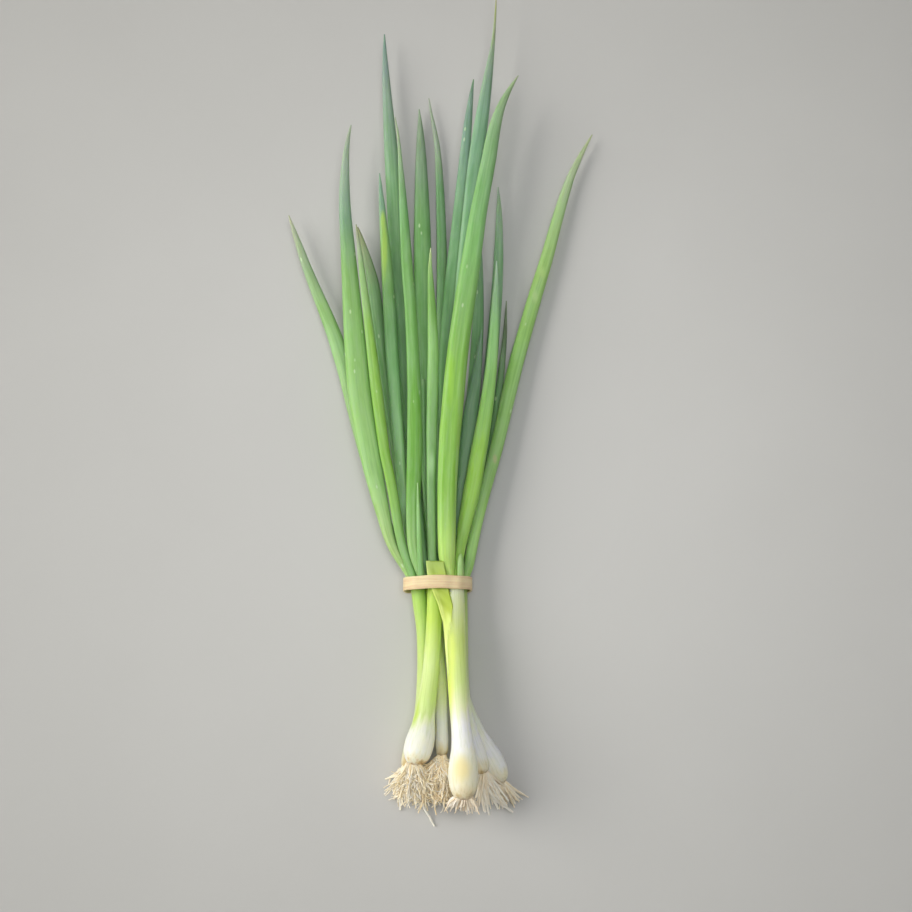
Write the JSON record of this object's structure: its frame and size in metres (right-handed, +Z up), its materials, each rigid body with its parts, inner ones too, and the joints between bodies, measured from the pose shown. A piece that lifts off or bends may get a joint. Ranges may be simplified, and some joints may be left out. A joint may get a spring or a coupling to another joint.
{
  "type": "spring onion bunch",
  "caption": "Bunch of whole spring onions lying flat: white bulbs with straw roots, pale shanks and long hollow green leaves, held together by a rubber band.",
  "frame": {"origin": "on the resting surface, under the middle of the whole bunch's box", "axes": "+Y along the bunch from the bulbs to the leaf tips, +Z up, +X to the right seen from above with the leaf tips away"},
  "size_m": [0.1456, 0.387, 0.0293],
  "materials": {
    "bulb": "satin",
    "roots": "matte",
    "leaf": "satin",
    "young_leaf": "satin",
    "rubber_band": "matte"
  },
  "bodies": {
    "root": {"left_low_bulb": "bulb", "left_low_leaf_a": "leaf", "left_low_leaf_b": "leaf", "left_low_leaf_c": "leaf", "left_low_leaf_d": "leaf", "left_low_leaf_e": "leaf", "left_low_roots": "roots", "left_top_bulb": "bulb", "left_top_leaf_a": "leaf", "left_top_leaf_b": "leaf", "left_top_leaf_c": "leaf", "left_top_leaf_d": "leaf", "left_top_roots": "roots", "middle_bulb": "bulb", "middle_leaf_a": "leaf", "middle_leaf_b": "leaf", "middle_leaf_c": "leaf", "middle_roots": "roots", "right_low_bulb": "bulb", "right_low_leaf_a": "leaf", "right_low_leaf_b": "leaf", "right_low_leaf_c": "leaf", "right_low_roots": "roots", "right_mid_bulb": "bulb", "right_mid_leaf_a": "leaf", "right_mid_leaf_b": "leaf", "right_mid_leaf_c": "leaf", "right_mid_leaf_d": "leaf", "right_mid_roots": "roots", "right_top_bulb": "bulb", "right_top_cut_leaf": "young_leaf", "right_top_leaf_a": "leaf", "right_top_leaf_b": "leaf", "right_top_roots": "roots", "right_top_sheath": "young_leaf", "rubber_band": "rubber_band"}
  },
  "joints": []
}
